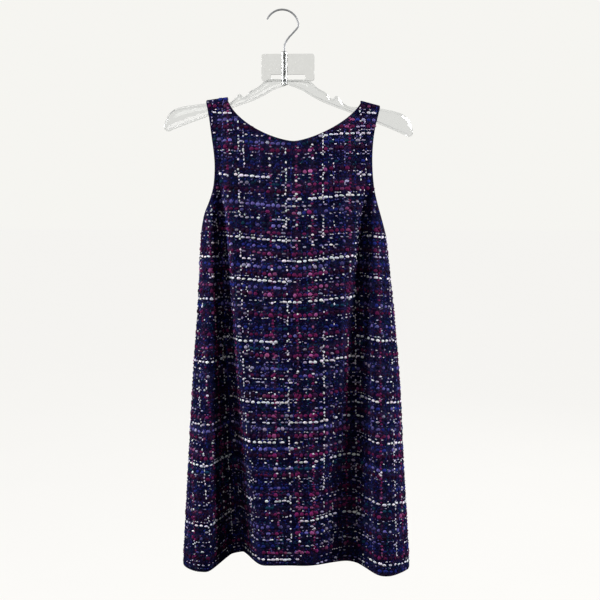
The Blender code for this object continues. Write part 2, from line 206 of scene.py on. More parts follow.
# One repeat of the weft: eight turns of a white, a cool and a warm pick. The yarns change
# colour along their length, so each has one mix left of the middle and one right of it.
WEFT_COLUMNS = ("white_left", "white_right", "cool_left", "cool_right", "warm_left", "warm_right")
WEFT_REPEAT = (
    ("white", "thin", "blue", "pale", "pink", "magenta"),
    ("pale", "white", "lavender", "lavender", "magenta", "magenta"),
    ("white", "thin", "lavender", "pink", "magenta", "magenta"),
    ("thin", "white", "lavender", "teal", "magenta", "magenta"),
    ("thin", "thin", "blue", "navy", "plum", "magenta"),
    ("white", "thin", "teal", "pink", "magenta", "magenta"),
    ("thin", "white", "lavender", "pale", "plum", "lavender"),
    ("pale", "thin", "blue", "pale", "magenta", "magenta"),
)
KINDS = ("white", "cool", "warm")
# Tone of the yarns of each kind of pick: the least, and how much a slow run along it can add
TONES = {"white": (1.0, 0.0), "cool": (0.42, 0.78), "warm": (0.18, 0.52)}
DIM_TONE = 0.55  # under this tone most slubs are of the dark yarns
DIM_SHARE = 0.6
# Bands down the cloth where the warm picks are bright
WARM_COLUMNS = ("at", "reach", "extra")
WARM_BANDS = (
    (0.026, 0.030, 0.75),
    (-0.052, 0.020, 0.45),
    (0.118, 0.016, 0.25),
    (-0.142, 0.014, 0.30),
)
# Where a warm pick crosses a magenta warp, and where a coloured pick crosses a white one
ROSE_CROSSING = {"share": 0.75, "half_length": 0.0044, "half_width": 0.0036, "extra_tone": 0.32}
WHITE_CROSSING = {"share": 0.22, "half_width": 0.0018}
# Mixes of the fine pick under each kind of coarse pick
FINE_PICKS = {
    "white": ("navy", "blue", "teal", "lavender"),
    "cool": ("plum", "rose", "navy", "thin"),
    "warm": ("thin", "thin", "white", "lavender"),
}
FINE_FILL = (0.40, 0.45)  # share of the places filled: the least, and what a slow run can add
FINE_HALF_LENGTH = 0.0020
FINE_HALF_WIDTH = 0.0010
FINE_TONE = 0.85
# The zones of the cloth's width, from the left seam: each edge, and the side it takes.
ZONE_EDGES = (-0.150, -0.012, 0.128)
ZONE_SIDES = ("right", "left", "right", "left")
ZONE_WANDER = 0.018
# One repeat of the warp, by the letters of its threads
WARP_REPEAT = "mntmnWbwnlmtWwbnlnmtnWb"
WARP_COLUMNS = ("mix", "half_width", "fill")
WARP_THREADS = {
    "m": ("rose", 0.0021, 0.80),
    "W": ("white", 0.0015, 0.52),
    "w": ("thin", 0.0012, 0.46),
    "l": ("lavender", 0.0012, 0.55),
    "b": ("blue", 0.0012, 0.60),
    "t": ("teal", 0.0012, 0.60),
    "n": ("navy", 0.0012, 0.50),
}
WARPS = {letter: dict(zip(WARP_COLUMNS, row)) for letter, row in WARP_THREADS.items()}
WARP_HALF_LENGTH = 0.0025
WARP_TONE = 0.9
SAG_LEFT = 0.005  # the picks sag between the straps
SAG_RIGHT = 0.010
DRIFT = 0.006  # how far the warps move to the right by the hem
TROUGH_DRIFT = 0.016  # and how much further in the left trough
TROUGH_U = -0.075
TROUGH_WIDTH = 0.055
DRIFT_FROM_Z = -0.20
DRIFT_OVER = 0.75  # height over which the drift grows
EDGE_MARGIN = 0.0020  # slubs stop this far short of a turned edge
CHART_SPARE = 0.02  # the chart goes on this far past the hem, and the bake map with it
HEAD_SPARE = 0.01  # and the bake map goes this far past the shoulders
COLUMNS = int(2 * MAP_HALF_U / WARP_PITCH)
# Chance in each slub: the least and most share of its length and of its width, its height as a
# share of its width, its twist, and how far it strays along a pick
SPREAD_COLUMNS = ("shortest", "longest", "thinnest", "thickest", "plump", "twist", "stray")
SPREADS = {
    "coarse": (0.72, 1.06, 0.70, 1.15, 0.42, 0.08, 0.0),
    "fine": (0.60, 1.15, 0.75, 1.20, 0.70, 0.08, 0.0004),
    "warp": (0.65, 1.15, 0.70, 1.25, 0.70, 0.09, 0.0),
}
COARSE_RUN = 4  # crossings over which a pick's tone, its fine pick or a warp's slubs change
FINE_RUN = 5
WARP_RUN = 9
STRAY_UP = 0.0005
COARSE_STRAY = 0.0006
WARP_STRAY = 0.0005
BEAD_POWER = 3.2  # blunt ends
BEAD_UNEVEN = 0.16
BEAD_LIFT = 0.0002
WEFT_TINT = 0.10  # share of the yarns' colour that the ground takes on
WARP_TINT = 0.07

# Hanger, as in the part, with a rib along each edge of its arms
HANGER_X = 0.010
HANGER_THICK = 0.005
WEB_THICK = 0.0016
RIB_HEIGHT = 0.0034
RIB_ROUND = 0.0013
CREST_HALF = 0.046
CREST_TOP = -0.073
CREST_FOOT = -0.119
CREST_ROUND = 0.005
CREST_THICK = 0.0036
SLOT_HALF = 0.030
SLOT_TOP = -0.108
SLOT_FOOT = -0.117
BOSS_RADIUS = 0.0055
BOSS_FOOT = -0.126
BORE_RADIUS = 0.0020
RIB_SHARE = 0.32  # a rib takes at most this share of the arm's height
ARM_STEPS = 181
SHARP_ANGLE = 42.0
ARM_COLUMNS = ("x", "top", "foot")
ARM_STATIONS = (
    (0.000, -0.1170, -0.1255),
    (0.028, -0.1170, -0.1365),
    (0.037, -0.1180, -0.1420),
    (0.050, -0.1290, -0.1490),
    (0.069, -0.1410, -0.1570),
    (0.0745, -0.1475, -0.1590),
    (0.079, -0.1475, -0.1605),
    (0.083, -0.1430, -0.1620),
    (0.0865, -0.1440, -0.1635),
    (0.094, -0.1526, -0.1660),
    (0.142, -0.1604, -0.1835),
    (0.167, -0.1640, -0.1928),
    (0.186, -0.1675, -0.2003),
    (0.202, -0.1740, -0.2065),
    (0.212, -0.1850, -0.2100),
    (0.217, -0.1980, -0.2070),
)
WIRE_RADIUS = 0.0016
HOOK_RADIUS = 0.0285
HOOK_TIP_ANGLE = 155.0
HOOK_NECK_ANGLE = 5.0
HOOK_NECK_PULL = 0.008
STEM_PULL = 0.016
STEM_X = 0.004
STEM_TOP = -0.062
STEM_FOOT = -0.118
BEND_STEPS = 60
SWEEP_STEPS = 30
WIRE_SIDES = 16
BOSS_SIDES = 40
BOSS_RISE = 0.004  # the boss stands this far above the crest
BORE_FOOT = BOSS_FOOT + 0.007
VENT_RADIUS = 0.0012  # narrow hole under the bore
SLOT_ROUND = 0.002

# Plastics: roughness where smooth and where cloudy, and the strength of the flow marks
PLASTICS = {
    "clear_plastic": {"colour": (0.80, 0.81, 0.81), "smooth": 0.02, "cloudy": 0.06, "relief": 0.18},
    "frosted_plastic": {"colour": (0.78, 0.785, 0.78), "smooth": 0.10, "cloudy": 0.22, "relief": 0.12},
    "thick_plastic": {"colour": (0.66, 0.675, 0.67), "smooth": 0.14, "cloudy": 0.26, "relief": 0.06},
}

# Camera, floor and lights
CAMERA_AT = (0.1006, -1.5936, -0.3199)
CAMERA_DOWN = 6.5
CAMERA_YAW = 2.5
CAMERA_LENS = 54.0
FLOOR_Z = -1.45
FLOOR_SIZE = 60.0
FLOOR_GLOW = 0.985
LIT_POINT = (DRESS_X, 0.0, -0.5)
SURROUND = (0.92, 0.913, 0.88, 1.0)
AMBIENT = 0.11
LIGHT_COLUMNS = ("name", "at", "size", "power", "colour")
LIGHTS = (
    ("key_left", (-2.1, -0.55, 0.35), 0.9, 76.0, (0.97, 0.98, 1.0)),
    ("rim_right", (2.0, -0.42, 0.10), 0.6, 54.0, (0.96, 0.96, 1.0)),
    ("front", (-0.7, -2.5, 1.0), 1.2, 15.0, (1.0, 0.98, 0.96)),
    ("back", (1.3, 2.3, 0.7), 1.0, 50.0, (1.0, 0.98, 0.96)),
)


def smoothstep(low, high, value):
    t = np.clip((value - low) / (high - low), 0.0, 1.0)
    return t * t * (3.0 - 2.0 * t)


def curve_through(table, columns, name):
    """Smooth function of z through one named column of a table (Catmull-Rom tangents)."""
    rows = sorted(table)
    z = np.array([row[0] for row in rows])
    v = np.array([row[columns.index(name)] for row in rows])
    slope = np.gradient(v, z)

    def value(at):
        at = np.clip(at, z[0], z[-1])
        i = np.clip(np.searchsorted(z, at) - 1, 0, len(z) - 2)
        h = z[i + 1] - z[i]
        t = (at - z[i]) / h
        return (
            (2 * t**3 - 3 * t**2 + 1) * v[i] + (t**3 - 2 * t**2 + t) * h * slope[i]
            + (3 * t**2 - 2 * t**3) * v[i + 1] + (t**3 - t**2) * h * slope[i + 1]
        )

    return value


RING = {name: curve_through(SECTIONS, SECTION_COLUMNS, name) for name in SECTION_COLUMNS[1:]}
EDGE = {name: curve_through(ARMHOLE, ARMHOLE_COLUMNS, name) for name in ARMHOLE_COLUMNS[1:]}


def side_name(side):
    return "left" if side < 0 else "right"


def shoulder_z(x):
    """Height of the shoulder seam: level between the neck points, then sloping outwards."""
    across = x - DRESS_X
    left_out = np.maximum(-across - NECK_LEFT, 0.0)
    right_out = np.maximum(across - NECK_RIGHT, 0.0)
    neck_end = SHOULDER_Z - RIGHT_SHOULDER_DROP * smoothstep(-NECK_LEFT, NECK_RIGHT, across)
    return neck_end - LEFT_SHOULDER_SLOPE * left_out - RIGHT_SHOULDER_SLOPE * right_out


def hem_z(x):
    return HEM_Z - HEM_DROOP * smoothstep(HEM_DROOP_FROM, HEM_DROOP_TO, np.abs(x - DRESS_X))


def row_height(x, row_z):
    """Height of the cloth at x on a row that follows the hem more and more as it goes down."""
    lift = (row_z - UNDERARM_Z) / (HEM_Z - UNDERARM_Z)
    return np.where(row_z < UNDERARM_Z, UNDERARM_Z + lift * (hem_z(x) - UNDERARM_Z), row_z)


def fold_depth(folds, x, z):
    """How far the folds press the cloth in at (x, z)."""
    down = (FOLD_CHEST_Z - z) / (FOLD_CHEST_Z - HEM_Z)
    fade = smoothstep(FOLD_START_Z, FOLD_CHEST_Z, z)
    depth = np.zeros_like(x)
    for row in folds.values():
        fold = dict(zip(FOLD_COLUMNS, row))
        step = np.clip(down, FOLD_RISE, 1.0)
        centre, full, left, right = (
            fold[f"{part}_chest"] + (fold[f"{part}_hem"] - fold[f"{part}_chest"]) * step
            for part in ("x", "depth", "left", "right")
        )
        away = (x - centre) / np.where(x < centre, left, right)
        bell = np.cos(np.clip(away, -1.0, 1.0) * math.pi / 2) ** 2
        depth = depth + fade * full * bell
    return depth


def crease_height(creases, x, z):
    """How far the soft creases stand out of the cloth at (x, z)."""
    height = np.zeros_like(x)
    for row in creases:
        crease = dict(zip(CREASE_COLUMNS, row))
        down = (crease["z_top"] - z) / (crease["z_top"] - crease["z_foot"])
        centre = crease["x_top"] + (crease["x_foot"] - crease["x_top"]) * np.clip(down, 0.0, 1.0)
        ends = smoothstep(*CREASE_ENDS[:2], down) * (1.0 - smoothstep(*CREASE_ENDS[2:], down))
        height = height + crease["height"] * ends * np.exp(-((x - centre) / crease["width"]) ** 2)
    return height


def trough_x(panel, side, z):
    """Where a panel's trough runs on one side, and the middle of the strap above it."""
    trough = panel["folds"]["left trough" if side < 0 else "right trough"]
    fold = dict(zip(FOLD_COLUMNS, trough))
    down = max((FOLD_CHEST_Z - z) / (FOLD_CHEST_Z - HEM_Z), 0.0)
    at_fold = fold["x_chest"] + (fold["x_hem"] - fold["x_chest"]) * down
    neck, tip = (NECK_LEFT, ARMHOLE[0][1]) if side < 0 else (NECK_RIGHT, ARMHOLE[0][2])
    strap_middle = DRESS_X + side * (neck + tip) / 2
    up = smoothstep(FOLD_CHEST_Z, SHOULDER_Z, z)
    return at_fold + (strap_middle - at_fold) * up


def panel_y(panel, x, z):
    """Distance of a panel's cloth from the plane of the hanger."""
    side = np.where(x < DRESS_X, RING["left"](z), RING["right"](z))
    across = np.clip(np.abs(x - DRESS_X) / side, 0.0, 1.0)
    power = RING_POWER + (HEM_RING_POWER - RING_POWER) * smoothstep(UNDERARM_Z, HEM_Z, z)
    rounded = (1.0 - across**power) ** (1.0 / power)
    pressed = fold_depth(panel["folds"], x, z) - crease_height(panel["creases"], x, z)
    hung = rounded * (RING[panel["depth"]](z) - pressed)
    below = np.maximum(shoulder_z(x) - z, 0.0)
    bend = np.sqrt(1.0 - (1.0 - np.minimum(below / STRAP_BEND, 1.0)) ** 2)
    strap = STRAP_BEND * bend + STRAP_SPREAD * np.maximum(below - STRAP_BEND, 0.0)
    share = smoothstep(STRAP_ONLY_Z, RINGS_ONLY_Z, z)
    return share * hung + (1.0 - share) * strap


def neck_x(panel, side, drop):
    """Distance of the neckline from the centre line, at a drop below the shoulder seam."""
    half = NECK_LEFT if side < 0 else NECK_RIGHT
    power = panel["neck_powers"][0 if side < 0 else 1]
    rest = np.maximum(1.0 - (np.maximum(drop, 0.0) / panel["neck_drop"]) ** power, 0.0)
    return half * rest ** (1.0 / power)


def armhole_x(panel, side, z):
    """Distance of a panel's armhole edge from the centre line."""
    name = side_name(side)
    share = np.clip((z - UNDERARM_Z) / (ARMHOLE[0][0] - UNDERARM_Z), 0.0, 1.0)
    out = EDGE[name](z) + panel["edge_out"][name] * np.sin(math.pi * share)
    return np.minimum(out, RING[name](z) * SEAM_SHARE)


def lean(points):
    """Let the shoulders drop to the right, fading out towards the hem."""
    share = smoothstep(LEAN_FOOT, LEAN_HEAD, points[..., 2])
    points[..., 2] -= LEAN * share * (points[..., 0] - DRESS_X)
    return points


def arc_length(line):
    return np.concatenate([[0.0], np.cumsum(np.linalg.norm(np.diff(line, axis=0), axis=1))])


def on_cloth(panel, x, z):
    return np.column_stack([x, panel_y(panel, x, z), z])


def seam_row(panel, side, row_z):
    """Fine points of one half row, along the ring from the side seam to the centre."""
    fraction = np.cos(np.linspace(0.0, math.pi / 2, FINE_STEPS))
    name = side_name(side)
    x = DRESS_X + side * fraction * RING[name](row_z)
    z = row_height(x, np.full_like(x, row_z))
    x = DRESS_X + side * fraction * RING[name](z)
    return on_cloth(panel, x, z)


def straight_row(panel, start, end):
    """Fine points of one half row that is straight in front view."""
    t = np.linspace(0.0, 1.0, FINE_STEPS)
    x = start[0] + (end[0] - start[0]) * t
    z = start[1] + (end[1] - start[1]) * t
    return on_cloth(panel, x, z)


def spread_columns(panel, side, line, row_z, inner_u):
    """Columns of one half row, evenly along the cloth on each side of the trough, as points
    followed by the cloth's own coordinates: u from the centre line and v down the row."""
    length = arc_length(line)
    trough = trough_x(panel, side, float(np.mean(line[:, 2])))
    split = float(np.interp(side * -trough, side * -line[:, 0], length))
    at = np.concatenate([
        np.linspace(0.0, split, SIDE_COLUMNS + 1),
        np.linspace(split, length[-1], MIDDLE_COLUMNS + 1)[1:],
    ])
    u = side * (inner_u + length[-1] - at)
    columns = [np.interp(at, length, line[:, i]) for i in range(3)]
    v = columns[2] if row_z is None else np.full_like(u, row_z)
    return np.column_stack([*columns, u, v])


def half_panel(panel, side):
    """Rows of one half of a panel, from the hem up to the shoulder seam."""
    rows = []
    for i in range(SKIRT_ROWS + 1):
        z = HEM_Z + (UNDERARM_Z - HEM_Z) * i / SKIRT_ROWS
        rows.append(spread_columns(panel, side, seam_row(panel, side, z), z, 0.0))
    neck_foot = SHOULDER_Z - panel["neck_drop"]
    for i in range(1, CHEST_ROWS):
        z = UNDERARM_Z + (neck_foot - UNDERARM_Z) * (i / CHEST_ROWS) ** CHEST_CROWDING
        start = (DRESS_X + side * float(armhole_x(panel, side, z)), z)
        rows.append(spread_columns(panel, side, straight_row(panel, start, (DRESS_X, z)), z, 0.0))
    panel["split_row"] = len(rows)  # the neck's lowest row, the last where the halves meet
    tip_x = DRESS_X + side * float(armhole_x(panel, side, ARMHOLE[0][0]))
    tip_z = float(shoulder_z(tip_x)) - STRAP_BEND
    for i in range(STRAP_ROWS + 1):
        t = i / STRAP_ROWS
        outer_z = neck_foot + (tip_z - neck_foot) * t
        drop = panel["neck_drop"] * math.cos(t * math.pi / 2) + STRAP_BEND * t
        inner_out = float(neck_x(panel, side, drop))
        inner_z = float(shoulder_z(DRESS_X + side * inner_out)) - drop
        start = (DRESS_X + side * float(armhole_x(panel, side, outer_z)), outer_z)
        end = (DRESS_X + side * inner_out, inner_z)
        rows.append(spread_columns(panel, side, straight_row(panel, start, end), None, inner_out))
    foot = rows[-1]
    for i in range(1, BEND_ROWS + 1):
        angle = math.pi / 2 * i / BEND_ROWS
        bent = foot.copy()
        bent[:, 1] = foot[:, 1] * math.cos(angle)
        bent[:, 2] = foot[:, 2] + STRAP_BEND * math.sin(angle)
        bent[:, 4] = foot[:, 4] + STRAP_BEND * angle
        rows.append(bent)
    return np.array(rows)


def unit(vectors):
    return vectors / np.maximum(np.linalg.norm(vectors, axis=-1, keepdims=True), 1e-12)


def panel_skin(panel):
    """The panel's middle surface: points, outward normals, cloth coordinates and quads."""
    halves = {}
    for side in (-1, 1):
        grid = half_panel(panel, side)
        points = grid[..., :3]
        points[..., 1] = np.maximum(points[..., 1], SEAM_GAP / 2) * panel["toward"]
        rows = points if side < 0 else points[:, ::-1]
        normals = np.cross(np.gradient(rows, axis=1), np.gradient(rows, axis=0))
        normals = normals if side < 0 else normals[:, ::-1]
        normals[: SKIRT_ROWS + 1, 0, 1] = 0.0
        normals[-1, :, 1] = 0.0
        halves[side] = (points, unit(normals) * -panel["toward"], grid[..., 3:])
    split, last = panel["split_row"], HALF_COLUMNS
    middle = unit(halves[-1][1][: split + 1, -1] + halves[1][1][: split + 1, -1])
    halves[-1][1][: split + 1, -1] = middle
    height = len(halves[-1][0])
    left = np.arange(height * (last + 1)).reshape(height, last + 1)
    right = left + left.size
    right[: split + 1, -1] = left[: split + 1, -1]
    points, normals, cloth = (
        np.concatenate([halves[side][k].reshape(-1, halves[side][k].shape[-1]) for side in (-1, 1)])
        for k in range(3)
    )
    quads = []
    for index, flip in ((left, panel["toward"] > 0), (right, panel["toward"] < 0)):
        quad = np.stack([index[:-1, :-1], index[:-1, 1:], index[1:, 1:], index[1:, :-1]], axis=-1)
        quad = quad.reshape(-1, 4)
        quads.append(quad[:, ::-1] if flip else quad)
    quads = np.concatenate(quads)
    used, renumbered = np.unique(quads, return_inverse=True)
    return points[used], normals[used], cloth[used], renumbered.reshape(-1, 4)


def outline(points, quads):
    """Edges used by one quad only, in order, and the direction outwards at each of their ends."""
    edges = np.concatenate([quads[:, [i, (i + 1) % 4]] for i in range(4)])
    key = np.sort(edges, axis=1)
    _, first, count = np.unique(key, axis=0, return_index=True, return_counts=True)
    rim = edges[first[count == 1]]
    on_rim = np.zeros(len(points), bool)
    on_rim[rim] = True
    away = np.zeros_like(points)
    for a, b in ((edges[:, 0], edges[:, 1]), (edges[:, 1], edges[:, 0])):
        inner = on_rim[a] & ~on_rim[b]
        np.add.at(away, a[inner], points[a[inner]] - points[b[inner]])
    return rim, unit(away)


def cloth_mesh(name, skin, shifts, look):
    """A closed shell around a skin, with rounded cut edges and the cloth's own coordinates."""
    points, normals, cloth, quads = skin
    rim, away = outline(points, quads)
    ends = np.unique(rim)
    place = np.full(len(points), -1)
    place[ends] = np.arange(len(ends)) + 2 * len(points)
    middle = points[ends] + away[ends] * RIM_ROUND
    count = len(points)
    every = np.concatenate([points + normals * WALL / 2, points - normals * WALL / 2, middle])
    every = lean(every)
    a, b = rim[:, 0], rim[:, 1]
    faces = np.concatenate([
        quads,
        quads[:, ::-1] + count,
        np.stack([b, a, place[a], place[b]], axis=-1),
        np.stack([place[b], place[a], a + count, b + count], axis=-1),
    ])
    mesh = bpy.data.meshes.new(name)
    mesh.from_pydata(every.tolist(), [], faces.tolist())
    coordinates = np.concatenate([cloth, cloth, cloth[ends]])
    write_cloth_coordinates(mesh, coordinates)
    write_tint(mesh, coordinates, shifts)
    corner = np.empty(len(mesh.loops), np.int32)
    mesh.loops.foreach_get("vertex_index", corner)
    flat = (coordinates - coordinates.min(0)) / (coordinates.max(0) - coordinates.min(0))
    inner = np.zeros(len(faces), bool)
    inner[len(quads):2 * len(quads)] = True
    inner[-len(rim):] = True
    uv = flat[corner] * (0.5 - 2 * BAKE_MARGIN, 1.0 - 2 * BAKE_MARGIN) + BAKE_MARGIN
    uv[:, 0] += 0.5 * np.repeat(inner, 4)
    mesh.uv_layers.new(name="OFBake").data.foreach_set("uv", uv.ravel())
    return add_piece(name, mesh, look)


def write_tint(mesh, coordinates, shifts):
    """Colour of the ground at each vertex: navy, tinged by the yarns that cross there."""
    means = {
        mix: sum(np.array(YARNS[yarn]) * share for yarn, share in shares)
        for mix, shares in MIXES.items()
    }
    u, v = coordinates.T
    colours = np.ones((len(coordinates), 4))
    for i, (at_u, at_v) in enumerate(zip(u - warp_drift(u, v), v - grain_rise(u, v))):
        pick = int(round((CHART_TOP_Z - at_v) / PICK_PITCH)) + shifts[0]
        column = int(math.floor((at_u + MAP_HALF_U) / WARP_PITCH)) + shifts[1]
        mix = pick_mix(pick, at_u, 0.0)
        weft = 0.0 if mix in ("white", "pale", "thin") else WEFT_TINT * means[mix]
        thread = WARP_REPEAT[column % len(WARP_REPEAT)]
        warp = 0.0 if thread in "Ww" else WARP_TINT * means[WARPS[thread]["mix"]]
        colours[i, :3] = np.array(GROUND) + weft + warp
    write_colours(mesh, "tint", colours)


def write_colours(mesh, name, colours):
    attribute = mesh.color_attributes.new(name, "FLOAT_COLOR", "POINT")
    attribute.data.foreach_set("color", colours.ravel().astype(np.float32))


def write_cloth_coordinates(mesh, coordinates):
    attribute = mesh.attributes.new("cloth", "FLOAT_VECTOR", "POINT")
    full = np.column_stack([coordinates, np.zeros(len(coordinates))])
    attribute.data.foreach_set("vector", full.ravel().astype(np.float32))


def add_piece(name, mesh, look):
    mesh.materials.append(look)
    mesh.validate()
    mesh.update()
    mesh.shade_smooth()
    return placed(name, mesh)


def placed(name, data):
    made = bpy.data.objects.new(name, data)
    bpy.context.scene.collection.objects.link(made)
    return made


# Places on the cloth, read by its own coordinates

MAP_STEP_U = 0.0015
MAP_STEP_V = 0.0030
MAP_TOP = SHOULDER_Z - 0.001
DIRECTION_REACH = 0.0016  # how far to either side a direction on the cloth is read
NECK_MARGIN_SHARE = 0.4


def cloth_map(panel):
    """Points of the whole panel at even steps of u and v, with NaN past the side seams."""
    rows_v = np.arange(MAP_TOP, HEM_Z - MAP_STEP_V, -MAP_STEP_V)
    even_u = np.arange(-MAP_HALF_U, MAP_HALF_U + MAP_STEP_U / 2, MAP_STEP_U)
    table = np.full((len(rows_v), len(even_u), 3), np.nan)
    reach = np.zeros((len(rows_v), 2))
    for j, v in enumerate(rows_v):
        for side in (-1, 1):
            line = seam_row(panel, side, v)[::-1]
            length = arc_length(line)
            reach[j, 0 if side < 0 else 1] = length[-1]
            here = (side * even_u >= 0) & (side * even_u <= length[-1])
            table[j, here] = np.column_stack(
                [np.interp(side * even_u[here], length, line[:, i]) for i in range(3)]
            )
    table[..., 1] = np.maximum(table[..., 1], SEAM_GAP / 2) * panel["toward"]
    return {"points": table, "reach": reach}


def read_map(table, u, v):
    """Points at (u, v) by interpolation."""
    j = (MAP_TOP - v) / MAP_STEP_V
    i = (u + MAP_HALF_U) / MAP_STEP_U
    rows, columns = table["points"].shape[:2]
    j0 = np.clip(j.astype(int), 0, rows - 2)
    i0 = np.clip(i.astype(int), 0, columns - 2)
    s, t = (np.clip(j, 0, rows - 1) - j0)[:, None], (i - i0)[:, None]
    grid = table["points"]
    upper = grid[j0, i0] * (1 - t) + grid[j0, i0 + 1] * t
    lower = grid[j0 + 1, i0] * (1 - t) + grid[j0 + 1, i0 + 1] * t
    return upper * (1 - s) + lower * s


def places(panel, table, u, v):
    """Points, directions across and up the cloth, and normals at (u, v), after the lean."""
    reach = (-DIRECTION_REACH, DIRECTION_REACH)
    across = [lean(read_map(table, u + step, v)) for step in reach]
    along = [lean(read_map(table, u, v + step)) for step in reach]
    point = lean(read_map(table, u, v))
    tangent = unit(across[1] - across[0])
    upward = unit(along[1] - along[0])
    normal = unit(np.cross(tangent, upward))
    normal = normal * np.where(normal[:, 1] * panel["toward"] < 0, -1.0, 1.0)[:, None]
    return point, tangent, unit(np.cross(normal, tangent) * panel["toward"] * -1), normal


def on_panel(panel, table, u, v, margin):
    """Which (u, v) lie on the cut cloth, a margin inside its edges."""
    point = read_map(table, u, v)
    inside = np.isfinite(point[:, 0])
    x, z = np.nan_to_num(point[:, 0]), np.nan_to_num(point[:, 2], nan=-0.5)
    row = np.clip(((MAP_TOP - v) / MAP_STEP_V).astype(int), 0, len(table["reach"]) - 1)
    for side in (-1, 1):
        here = (x - DRESS_X) * side >= 0
        out = np.abs(x - DRESS_X)
        drop = shoulder_z(x) - z
        past_edge = (z > UNDERARM_Z) & (out > armhole_x(panel, side, z) - margin)
        past_seam = np.abs(u) > table["reach"][row, 0 if side < 0 else 1] - margin
        past_neck = out < neck_x(panel, side, drop - margin) + margin * NECK_MARGIN_SHARE
        inside &= ~(here & (past_edge | past_seam | past_neck))
        inside &= ~(here & (drop < margin))
    return inside & (z > hem_z(x) + margin)


# Slubs

def unit_bead(rings, sides):
    """Places on a unit bead as (along, angle) pairs, ring by ring between its two tips, with
    its faces. The same pairs lay the bead out flat."""
    turns = np.linspace(-1.0, 1.0, rings + 2)[1:-1]
    vertices = [(-1.0, 0.0)]
    vertices += [(t, 2 * math.pi * s / sides) for t in turns for s in range(sides)]
    vertices.append((1.0, 0.0))
    last = len(vertices) - 1
    faces, flat = [], []
    for s in range(sides):
        k = (s + 1) % sides
        low, high = s / sides, (s + 1) / sides
        faces.append((0, 1 + k, 1 + s))
        flat.append(((-1.0, (low + high) / 2), (turns[0], high), (turns[0], low)))
        for r in range(rings - 1):
            a, b = 1 + r * sides, 1 + (r + 1) * sides
            faces.append((a + s, a + k, b + k, b + s))
            flat.append(((turns[r], low), (turns[r], high), (turns[r + 1], high), (turns[r + 1], low)))
        a = 1 + (rings - 1) * sides
        faces.append((a + s, a + k, last))
        flat.append(((turns[-1], low), (turns[-1], high), (1.0, (low + high) / 2)))
    return np.array(vertices), faces, flat


def bead_mesh(name, panel, table, beads, shape, look):
    """Many beads as one mesh. beads has columns u, v, half length, half width, height, twist,
    quarter turn (0 weft or 1 warp) and red, green and blue."""
    rings, sides = shape
    vertices, faces, flat = unit_bead(rings, sides)
    u, v, length, width, height, twist, turned = beads[:, :7].T
    point, across, up, normal = places(panel, table, u, v)
    angle = twist + turned * math.pi / 2
    axis = across * np.cos(angle)[:, None] + up * np.sin(angle)[:, None]
    side = np.cross(normal, axis)
    along, around = vertices[:, 0], vertices[:, 1]
    radius = np.sqrt(1.0 - np.abs(along) ** BEAD_POWER)
    uneven = 1.0 + RANDOM.uniform(-BEAD_UNEVEN, BEAD_UNEVEN, (len(beads), len(vertices)))
    spread = radius * np.cos(around) * width[:, None] * uneven
    rise = radius * np.sin(around) * height[:, None] * uneven
    seat = point + normal * (WALL / 2 + BEAD_LIFT)
    every = (
        seat[:, None] + axis[:, None] * (along * length[:, None])[..., None]
        + side[:, None] * spread[..., None] + normal[:, None] * rise[..., None]
    )
    count = len(vertices)
    listed = [
        tuple(corner + count * i for corner in face) for i in range(len(beads)) for face in faces
    ]
    mesh = bpy.data.meshes.new(name)
    mesh.from_pydata(every.reshape(-1, 3).tolist(), [], listed)
    yarns = np.column_stack([beads[:, 7:10], np.ones(len(beads))])
    write_colours(mesh, "yarn", np.repeat(yarns, count, axis=0))
    corners = np.array([pair for face in flat for pair in face])
    lengthwise = corners[:, 0] * length[:, None]
    crosswise = (corners[:, 1] * 2 - 1) * width[:, None]
    is_warp = turned[:, None] > 0.5
    first = np.where(is_warp, crosswise, lengthwise)
    second = np.where(is_warp, lengthwise, crosswise)
    foot = HEM_Z - CHART_SPARE
    uv = np.stack([
        (u[:, None] + first + MAP_HALF_U) / (2 * MAP_HALF_U),
        (v[:, None] + second - foot) / (SHOULDER_Z - foot + HEAD_SPARE),
    ], axis=-1)
    mesh.uv_layers.new(name="OFBake").data.foreach_set("uv", uv.reshape(-1).astype(np.float32))
    return add_piece(name, mesh, look)


def picked(mix):
    names, shares = zip(*MIXES[mix])
    return names[RANDOM.choice(len(names), p=np.array(shares) / sum(shares))]


def tinted(yarn, tone):
    colour = np.array(YARNS[yarn]) * tone * RANDOM.uniform(0.75, 1.15)
    return np.clip(colour * RANDOM.uniform(0.92, 1.08, 3), 0.0, 1.0)


def grain_rise(u, v):
    """How far a pick rises above its middle as it nears the straps."""
    fade = smoothstep(-0.85, -0.35, v)
    left = SAG_LEFT * fade * smoothstep(-0.02, -0.12, u) * (1.0 - 0.7 * smoothstep(-0.17, -0.27, u))
    right = SAG_RIGHT * smoothstep(0.0, 0.11, u) * (1.0 - 0.8 * smoothstep(0.15, 0.26, u))
    return left + right


def warp_drift(u, v):
    """How far a warp thread has moved to the right by height v."""
    down = np.clip((DRIFT_FROM_Z - v) / DRIFT_OVER, 0.0, 1.0)
    return (DRIFT + TROUGH_DRIFT * np.exp(-((u - TROUGH_U) / TROUGH_WIDTH) ** 2)) * down


def zone_side(u, shift):
    """Which mix of a pick shows at u."""
    zone = sum(u > edge + shift for edge in ZONE_EDGES)
    return ZONE_SIDES[zone]


def flow(count, step):
    """A smooth random run from 0 to 1, changing every few steps."""
    knots = RANDOM.random(count // step + 2)
    return np.interp(np.arange(count), np.arange(len(knots)) * step, knots)


def pick_mix(pick, u, shift):
    """Mix that shows at u in a pick, counted from the top of the chart."""
    turn = WEFT_REPEAT[(pick // 3) % len(WEFT_REPEAT)]
    return turn[WEFT_COLUMNS.index(f"{KINDS[pick % 3]}_{zone_side(u, shift)}")]


